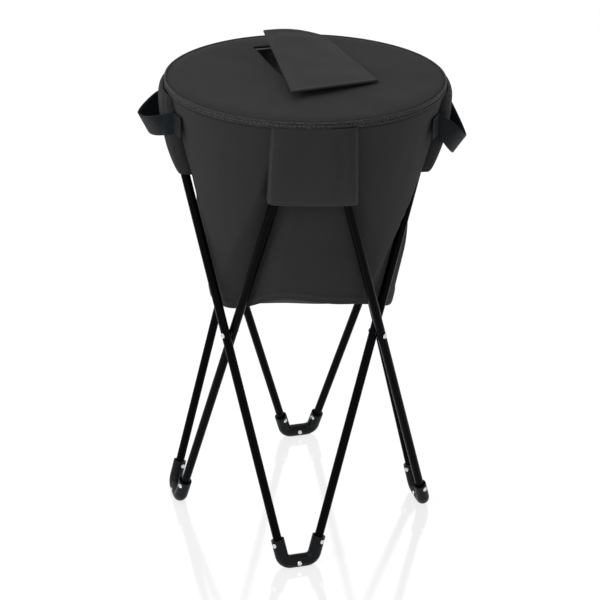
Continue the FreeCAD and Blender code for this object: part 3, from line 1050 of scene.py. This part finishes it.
class TUB_OT_handles(Operator):
    """Makes the two webbing handles and the stitched patches that hold their ends"""
    bl_idname = "tub.handles"
    bl_label = "Handles"

    steps = 96
    strips = 8
    sewn_run = 0.030
    sewn_sink = 0.010
    pocket_room = 0.0026
    patch_thickness = 0.0022
    patch_bevel = 0.0008
    patch_inset = 0.93

    def loop_place(self, share, half_span, reach, full):
        """A point round the loop, from one end at -1 to the other at 1."""
        angle = share * math.pi / 2
        across = math.copysign(abs(math.sin(angle)) ** (2 / full), angle) * half_span
        out = max(0.0, math.cos(angle)) ** (2 / full) * reach
        return out, across

    def strap(self, side, way, material):
        size = strap_sizes()
        steps = self.steps
        start = abs(joint_named(side + "_handle_swing")["pos_m"][0])
        half_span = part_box(side + "_handle")[1].y - size.thickness - size.root_inset
        looks = ("_reach", "_droop", "_lean", "_fullness")
        reach, hang, lean, full = [getattr(size, side + look) for look in looks]
        runs = [self.loop_place(2 * step / steps - 1, half_span, reach, full) for step in range(steps + 1)]
        lengths = [0.0]
        for a, b in zip(runs, runs[1:]):
            lengths.append(lengths[-1] + math.hypot(b[0] - a[0], b[1] - a[1]))
        path = [Vector((start + out * math.cos(hang), across, size.height - out * math.sin(hang)))
                for out, across in runs]
        maker = bmesh.new()
        bmesh.ops.create_grid(maker, x_segments=steps, y_segments=self.strips, size=0.5)
        marks = {}
        for vert in maker.verts:
            step = round((vert.co.x + 0.5) * steps)
            free = smooth_step(runs[step][0] / self.sewn_run)
            run = (path[min(steps, step + 1)] - path[max(0, step - 1)]).normalized()
            width = Vector((math.sin(lean * free), 0, math.cos(lean * free)))
            width = (width - run * width.dot(run) * free).normalized()
            place = path[step] + width * vert.co.y * size.width
            place.x -= self.sewn_sink * (1 - free)
            beside = (way * place.y - sizes().pocket_middle) / pocket_half(place.z)
            if abs(beside) < 1:
                place.x = max(place.x, pocket_depth(beside, place.z) + self.pocket_room)
            marks[vert] = (vert.co.y * size.width, lengths[step])
            vert.co = (way * place.x, place.y, place.z)
        piece = new_piece(side + "_strap", maker, marks, material)
        thicken(piece, size.thickness, 0.0)
        settle(piece, [side + "_handle"], side + "_handle")

    def patches(self, side, way, material):
        size = strap_sizes()
        low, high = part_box(side + "_handle_patches")
        centre_x = way * ((abs(low.x) + abs(high.x)) / 2)
        centre_y = abs(high.y) - size.width / 2 * self.patch_inset
        maker = bmesh.new()
        for end in (1, -1):
            turn = math.atan2(end * centre_y, abs(centre_x))
            place = Matrix.Translation((centre_x, end * centre_y, size.height))
            made = bmesh.ops.create_cube(maker, size=1.0)["verts"]
            bmesh.ops.scale(maker, vec=(self.patch_thickness, size.width, size.width), verts=made)
            edges = list({edge for vert in made for edge in vert.link_edges})
            bevelled = bmesh.ops.bevel(maker, geom=edges, offset=self.patch_bevel, segments=2, profile=0.5,
                                       affect="EDGES", material=-1)
            block = set(made) | {vert for face in bevelled["faces"] for vert in face.verts}
            block = [vert for vert in block if vert.is_valid]
            bmesh.ops.transform(maker, matrix=place @ Matrix.Rotation(way * turn, 4, "Z"), verts=block)
        marks = {vert: (abs(vert.co.y) - centre_y, vert.co.z - size.height) for vert in maker.verts}
        piece = new_piece(side + "_patches", maker, marks, material)
        settle(piece, [side + "_handle_patches"])

    def execute(self, context):
        forget_wall()
        webbing = ribbed_webbing("handle webbing", finishes().webbing)
        sewn = ribbed_webbing("sewn webbing", shaded(finishes().webbing, SEWN_SHADE),
                              strap_sizes().width * SEWN_SQUARE)
        for side, way in (("left", -1), ("right", 1)):
            self.strap(side, way, webbing)
            self.patches(side, way, sewn)
        return {"FINISHED"}


class TUB_OT_stand(Operator):
    """Gives the stand's tubes, hubs, rivets and zip slider their finishes"""
    bl_idname = "tub.stand"
    bl_label = "Stand Finishes"

    def execute(self, context):
        look = finishes()
        finish_of = {
            "leg_paint": gloss_paint("tube paint", look.tube_paint),
            "hub_plastic": moulded_plastic("hub plastic", look.hub_plastic),
            "rivet_steel": bright_steel("rivet steel", look.steel),
            "zip_metal": gloss_paint("zip enamel", look.zip_dark),
        }
        for entry in frame["record"]["subparts"]:
            finish = finish_of.get(entry["material_slot"])
            if finish is None:
                continue
            node = frame["nodes"][entry["node"]]
            node.data.materials.clear()
            node.data.materials.append(finish)
        return {"FINISHED"}


class TUB_OT_stage(Operator):
    """Sets the pale floor, the soft studio lights and the camera"""
    bl_idname = "tub.stage"
    bl_label = "Stage"

    floor_half = 8.0
    floor_drop = 0.0004
    floor_glow = 1.14
    floor_shine = 0.18
    floor_blur = 0.10
    floor_matt = 0.16
    floor_grey = (0.9, 0.9, 0.9, 1)
    white = (1, 1, 1, 1)
    room_light = 0.55
    # name, place, aim, width and power of each lamp
    lamps = (
        ("key", (-2.1, -1.9, 2.5), (0, 0, 0.6), 1.6, 43),
        ("fill", (2.2, -1.4, 1.6), (0, 0, 0.6), 1.6, 1.5),
        ("top", (-0.7, 0.2, 3.0), (0, 0, 0.85), 1.8, 15),
    )
    camera_place = (-0.0986, -2.7768, 1.7704)
    # yaw, pitch and roll
    camera_turn = (0.0344, 0.4508, 0.0170)
    camera_lens = 100.28
    camera_sensor = 36.0

    def floor(self):
        maker = bmesh.new()
        bmesh.ops.create_grid(maker, x_segments=1, y_segments=1, size=self.floor_half)
        floor = add_object("floor", bpy.data.meshes.new("floor"))
        maker.to_mesh(floor.data)
        maker.free()
        floor.location.z = -self.floor_drop
        material = bpy.data.materials.new("pale floor")
        graph = Graph(material)
        graph.nodes.clear()
        glow = graph.node("Emission", inputs={"Strength": self.floor_glow})
        mirror = graph.node("BsdfGlossy", inputs={"Color": self.white, "Roughness": self.floor_blur})
        matt = graph.node("BsdfDiffuse", inputs={"Color": self.floor_grey})
        shiny = graph.node("MixShader", inputs=[self.floor_shine, glow, mirror])
        whole = graph.node("MixShader", inputs=[self.floor_matt, shiny, matt])
        graph.show("OutputMaterial", whole)
        floor.data.materials.append(material)

    def world(self):
        """A dim room whose white backdrop shows to the camera and in reflections."""
        world = bpy.data.worlds.new("studio")
        bpy.context.scene.world = world
        graph = Graph(world)
        graph.nodes.clear()
        room = graph.node("Background", inputs={"Strength": self.room_light})
        backdrop = graph.node("Background", inputs={"Color": self.white})
        seen = graph.node("LightPath", output="Is Camera Ray")
        mirrored = graph.node("LightPath", output="Is Glossy Ray")
        mix = graph.node("MixShader", inputs=[seen.most(mirrored), room, backdrop])
        graph.show("OutputWorld", mix)

    def lamp(self, name, place, aim, width, power):
        light = bpy.data.lights.new(name, "AREA")
        light.size = width
        light.energy = power
        lamp = add_object(name, light)
        lamp.location = place
        lamp.rotation_euler = (Vector(aim) - Vector(place)).to_track_quat("-Z", "Y").to_euler()

    def camera(self):
        data = bpy.data.cameras.new("camera")
        data.sensor_width = self.camera_sensor
        data.lens = self.camera_lens
        camera = add_object("camera", data)
        yaw, pitch, roll = self.camera_turn
        forward = Vector((math.sin(yaw) * math.cos(pitch), math.cos(yaw) * math.cos(pitch), -math.sin(pitch)))
        camera.location = self.camera_place
        camera.rotation_euler = (forward.to_track_quat("-Z", "Y") @ Quaternion((0, 0, 1), roll)).to_euler()
        bpy.context.scene.camera = camera

    def execute(self, context):
        context.scene.view_settings.view_transform = "Standard"
        self.floor()
        self.world()
        for lamp in self.lamps:
            self.lamp(*lamp)
        self.camera()
        return {"FINISHED"}


class TUB_PT_panel(Panel):
    """Lists the steps that dress the stand"""
    bl_idname = "TUB_PT_panel"
    bl_label = "Tub Stand"
    bl_space_type = "VIEW_3D"
    bl_region_type = "UI"
    bl_category = "Tub Stand"

    def draw(self, context):
        for step in STEPS:
            self.layout.operator(step.bl_idname)


STEPS = (TUB_OT_stand, TUB_OT_wall, TUB_OT_floor, TUB_OT_pockets, TUB_OT_rim, TUB_OT_lid, TUB_OT_flap,
         TUB_OT_handles, TUB_OT_stage)
GROUPS = (("tub_sizes", TubSizes), ("lid_sizes", LidSizes), ("strap_sizes", StrapSizes),
          ("tub_finishes", Finishes))


def register():
    for name, group in GROUPS:
        bpy.utils.register_class(group)
        setattr(bpy.types.Scene, name, PointerProperty(type=group))
    for shown in (*STEPS, TUB_PT_panel):
        bpy.utils.register_class(shown)


def unregister():
    for shown in reversed((*STEPS, TUB_PT_panel)):
        bpy.utils.unregister_class(shown)
    for name, group in reversed(GROUPS):
        delattr(bpy.types.Scene, name)
        bpy.utils.unregister_class(group)


def main():
    register()
    for step in STEPS:
        space, name = step.bl_idname.split(".")
        getattr(getattr(bpy.ops, space), name)()


if __name__ == "__main__":
    main()
